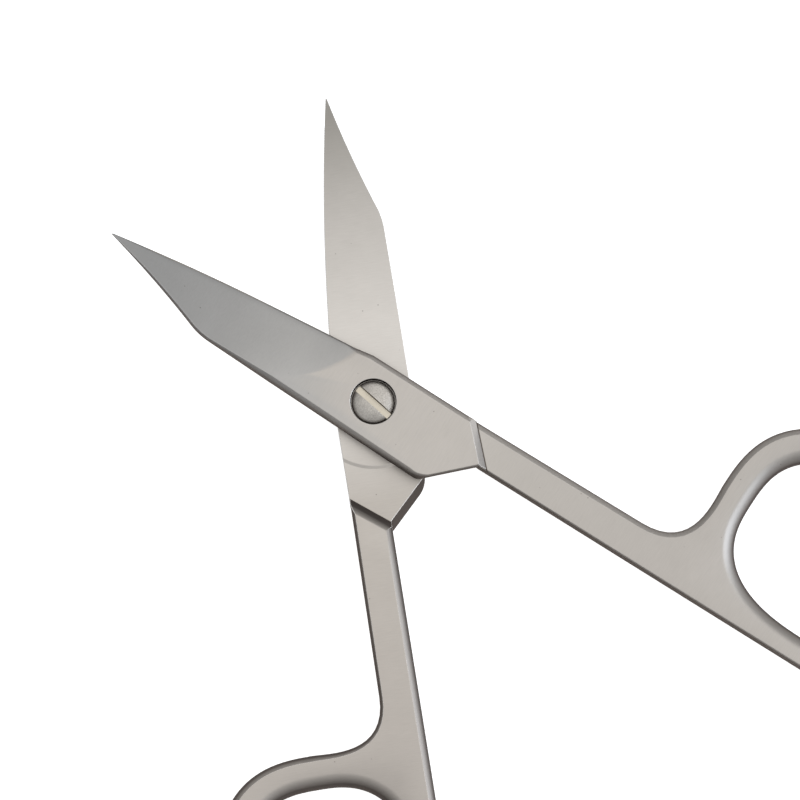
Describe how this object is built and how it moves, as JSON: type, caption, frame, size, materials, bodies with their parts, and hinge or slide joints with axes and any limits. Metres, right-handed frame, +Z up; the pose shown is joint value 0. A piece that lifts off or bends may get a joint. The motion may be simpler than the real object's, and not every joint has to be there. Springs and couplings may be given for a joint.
{
  "type": "nail scissors",
  "caption": "Straight nail scissors with tower points and finger rings, turning on a slotted pivot screw; they cut nails and cuticles.",
  "frame": {"origin": "centre of the bounding box, on the surface that the scissors lie on", "axes": "+X towards the upper half's finger ring, across the pair; +Y along the middle of the opening, towards the points; +Z up, out of the screw head"},
  "size_m": [0.0828, 0.0794, 0.0041],
  "materials": {
    "satin_steel": "satin stainless steel, fine-ground",
    "turned_steel": "turned stainless steel, a little darker"
  },
  "bodies": {
    "rear": {"rear_half": "satin_steel", "pivot_screw": "turned_steel"},
    "front": {"front_half": "satin_steel"}
  },
  "joints": [
    {"name": "blade_pivot", "type": "hinge", "parent": "rear", "child": "front", "pos_m": [-0.00052, 0.01262, 0.00204], "axis": [0, 0, 1], "range_deg": [-48, 82]}
  ]
}
